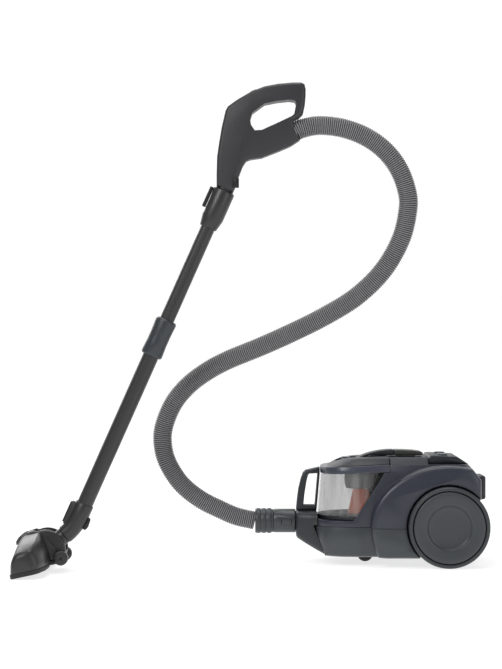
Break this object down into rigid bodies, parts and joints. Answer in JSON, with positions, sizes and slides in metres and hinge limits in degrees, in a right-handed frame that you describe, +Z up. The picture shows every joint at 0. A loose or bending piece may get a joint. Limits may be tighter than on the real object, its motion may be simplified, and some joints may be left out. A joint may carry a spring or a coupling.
{
  "type": "canister vacuum cleaner",
  "caption": "Bagless canister vacuum cleaner with clear dust bin, big rear wheels, corrugated hose, loop grip, telescopic wand and flat floor head.",
  "frame": {"origin": "on the floor, under the middle of the object's box measured without the hose", "axes": "+X to the rear of the canister, +Z up, +Y to the side away from the wand; the floor head and wand stand at -Y"},
  "size_m": [0.9376, 0.425, 0.9585],
  "materials": {
    "navy_shell": "satin moulded navy plastic",
    "gunmetal_shell": "satin moulded grey plastic",
    "nose_grey": "fine textured dark grey plastic",
    "panel_dark": "dark grey plastic",
    "band_blue_grey": "satin blue-grey plastic",
    "block_dark": "dark violet-grey plastic",
    "clear_cup": "clear smoked plastic",
    "terracotta": "translucent red-brown plastic",
    "soft_grey": "mid grey plastic",
    "olive_grey": "satin olive-grey plastic",
    "wheel_rim": "dark grey plastic rim",
    "wheel_face": "satin dark grey plastic",
    "rubber": "black rubber",
    "steel": "plain steel pin",
    "foam": "grey filter foam",
    "hose_grey": "corrugated grey plastic hose",
    "cuff_grey": "satin grey plastic",
    "button_black": "black plastic",
    "grip_grey": "fine textured dark grey plastic",
    "wand_grey": "dark grey plastic",
    "collar_blue": "dark blue-grey plastic",
    "sole_dark": "near black plastic"
  },
  "bodies": {
    "canister": {"lower_shell": "gunmetal_shell", "upper_shell": "navy_shell", "nose_housing": "nose_grey", "rear_bumper": "block_dark", "cord_outlet": "block_dark", "exhaust_filter": "foam", "control_deck": "panel_dark", "rear_top_panel": "panel_dark", "wheel_axle_left": "steel", "wheel_axle_right": "steel", "motor_housing": "soft_grey", "motor_filter": "foam"},
    "rear_wheel_left": {"wheel_tread_left": "wheel_rim", "wheel_disc_left": "wheel_face"},
    "rear_wheel_right": {"wheel_tread_right": "wheel_rim", "wheel_disc_right": "wheel_face"},
    "caster": {"caster_fork": "panel_dark", "caster_axle": "steel"},
    "caster_roller": {"caster_wheel": "rubber"},
    "fan": {"motor_fan": "steel"},
    "reel": {"cord_reel": "soft_grey"},
    "dust_bin": {"bin_cup": "clear_cup", "bin_base": "panel_dark", "bin_lid_band": "band_blue_grey", "bin_lid_top": "panel_dark", "lid_arch": "panel_dark", "bin_handle": "panel_dark", "cyclone_cone": "terracotta", "cyclone_cage": "soft_grey"},
    "bin_release": {"bin_release_button": "band_blue_grey"},
    "carry_bar": {"carry_handle": "olive_grey"},
    "power_key": {"power_button": "band_blue_grey"},
    "rewind_key": {"rewind_button": "band_blue_grey"},
    "exhaust_door": {"exhaust_cover": "panel_dark"},
    "hose_end": {"hose_cuff": "cuff_grey", "hose_ferrule": "wheel_rim", "hose": "hose_grey"},
    "latch_left": {"cuff_latch_left": "cuff_grey"},
    "latch_right": {"cuff_latch_right": "cuff_grey"},
    "grip": {"grip_left": "grip_grey", "grip_right": "grip_grey", "accessory_clip": "button_black", "wand_socket": "wand_grey", "inner_tube": "wand_grey"},
    "suction_relief": {"suction_slider": "soft_grey"},
    "wand_lock": {"wand_lock_button": "button_black"},
    "lower_wand": {"outer_tube": "wand_grey", "elbow": "wand_grey", "park_hook": "button_black"},
    "wand_collar": {"slide_collar": "collar_blue"},
    "elbow_lock": {"elbow_lock_button": "button_black"},
    "neck": {"knuckle": "wand_grey"},
    "floor_head": {"nozzle_cover": "wand_grey", "nozzle_sole": "sole_dark", "nozzle_axle": "steel"},
    "pedal": {"brush_pedal": "button_black"},
    "brushes": {"brush_strip_front": "button_black", "brush_strip_rear": "button_black"},
    "head_wheel_left": {"nozzle_wheel_left": "rubber"},
    "head_wheel_right": {"nozzle_wheel_right": "rubber"}
  },
  "joints": [
    {"name": "rear_wheel_left_spin", "type": "hinge", "parent": "canister", "child": "rear_wheel_left", "pos_m": [0.383, -0.0165, 0.081], "axis": [0, 1, 0], "continuous": true},
    {"name": "rear_wheel_right_spin", "type": "hinge", "parent": "canister", "child": "rear_wheel_right", "pos_m": [0.383, 0.1715, 0.081], "axis": [0, 1, 0], "continuous": true},
    {"name": "caster_swivel", "type": "hinge", "parent": "canister", "child": "caster", "pos_m": [0.206, 0.0775, 0.034], "axis": [0, 0, 1], "continuous": true},
    {"name": "caster_roll", "type": "hinge", "parent": "caster", "child": "caster_roller", "pos_m": [0.223, 0.0775, 0.016], "axis": [0, 1, 0], "continuous": true},
    {"name": "fan_spin", "type": "hinge", "parent": "canister", "child": "fan", "pos_m": [0.371, 0.0345, 0.106], "axis": [0, 1, 0], "continuous": true},
    {"name": "reel_spin", "type": "hinge", "parent": "canister", "child": "reel", "pos_m": [0.375, 0.1215, 0.102], "axis": [0, 1, 0], "continuous": true},
    {"name": "dust_bin_lift", "type": "slide", "parent": "canister", "child": "dust_bin", "axis": [0, 0, 1], "range_m": [0, 0.12]},
    {"name": "bin_release_press", "type": "slide", "parent": "dust_bin", "child": "bin_release", "axis": [0, 0, -1], "range_m": [0, 0.0022], "stiffness_N_per_m": 500, "springref_m": -0.002},
    {"name": "carry_handle_hinge", "type": "hinge", "parent": "canister", "child": "carry_bar", "pos_m": [0.336, 0.0775, 0.2215], "axis": [0, 1, 0], "range_deg": [0, 70]},
    {"name": "power_press", "type": "slide", "parent": "canister", "child": "power_key", "axis": [0, 0, -1], "range_m": [0, 0.003], "stiffness_N_per_m": 500, "springref_m": -0.002},
    {"name": "rewind_press", "type": "slide", "parent": "canister", "child": "rewind_key", "axis": [0, 0, -1], "range_m": [0, 0.003], "stiffness_N_per_m": 500, "springref_m": -0.002},
    {"name": "exhaust_cover_hinge", "type": "hinge", "parent": "canister", "child": "exhaust_door", "pos_m": [0.4512, 0.0775, 0.085], "axis": [0, 1, 0], "range_deg": [0, 80]},
    {"name": "hose_plug_slide", "type": "slide", "parent": "canister", "child": "hose_end", "axis": [-1, 0, 0], "range_m": [0, 0.045]},
    {"name": "latch_left_press", "type": "slide", "parent": "hose_end", "child": "latch_left", "axis": [0, 1, 0], "range_m": [0, 0.0015], "stiffness_N_per_m": 500, "springref_m": -0.002},
    {"name": "latch_right_press", "type": "slide", "parent": "hose_end", "child": "latch_right", "axis": [0, -1, 0], "range_m": [0, 0.0015], "stiffness_N_per_m": 500, "springref_m": -0.002},
    {"name": "handle_height", "type": "slide", "parent": "hose_end", "child": "grip", "axis": [0.4067, 0, 0.9135], "range_m": [-0.19, 0.09], "deforming": ["hose"]},
    {"name": "wand_telescope", "type": "slide", "parent": "grip", "child": "lower_wand", "axis": [0.4067, 0, 0.9135], "range_m": [-0.09, 0.19]},
    {"name": "suction_relief_slide", "type": "slide", "parent": "grip", "child": "suction_relief", "axis": [0.924, 0, 0.3823], "range_m": [0, 0.01]},
    {"name": "wand_lock_press", "type": "slide", "parent": "grip", "child": "wand_lock", "axis": [0.9135, 0, -0.4067], "range_m": [0, 0.0025], "stiffness_N_per_m": 500, "springref_m": -0.002},
    {"name": "wand_collar_press", "type": "slide", "parent": "lower_wand", "child": "wand_collar", "axis": [-0.4067, 0, -0.9135], "range_m": [0, 0.006], "stiffness_N_per_m": 600, "springref_m": -0.004},
    {"name": "elbow_lock_press", "type": "slide", "parent": "lower_wand", "child": "elbow_lock", "axis": [0.9135, 0, -0.4067], "range_m": [0, 0.0015], "stiffness_N_per_m": 500, "springref_m": -0.002},
    {"name": "neck_swivel", "type": "hinge", "parent": "lower_wand", "child": "neck", "pos_m": [-0.37675, -0.0725, 0.07042], "axis": [0.788, 0, 0.6157], "range_deg": [-60, 60]},
    {"name": "floor_head_tilt", "type": "hinge", "parent": "neck", "child": "floor_head", "pos_m": [-0.413, -0.0725, 0.0421], "axis": [0, 1, 0], "range_deg": [-8, 58]},
    {"name": "head_wheel_left_spin", "type": "hinge", "parent": "floor_head", "child": "head_wheel_left", "pos_m": [-0.38058, -0.1115, 0.02906], "axis": [0, 1, 0], "continuous": true},
    {"name": "head_wheel_right_spin", "type": "hinge", "parent": "floor_head", "child": "head_wheel_right", "pos_m": [-0.38058, -0.0335, 0.02906], "axis": [0, 1, 0], "continuous": true},
    {"name": "brush_pedal_rock", "type": "hinge", "parent": "floor_head", "child": "pedal", "pos_m": [-0.45771, -0.0725, 0.06725], "axis": [0, 1, 0], "range_deg": [0, 8]},
    {"name": "brush_drop", "type": "slide", "parent": "floor_head", "child": "brushes", "axis": [0.2079, 0, -0.9781], "range_m": [0, 0.003]}
  ],
  "couplings": [
    {"joint": "wand_telescope", "follows": "handle_height", "ratio": -1},
    {"joint": "brush_drop", "follows": "brush_pedal_rock", "m_per_rad": 0.0214}
  ]
}
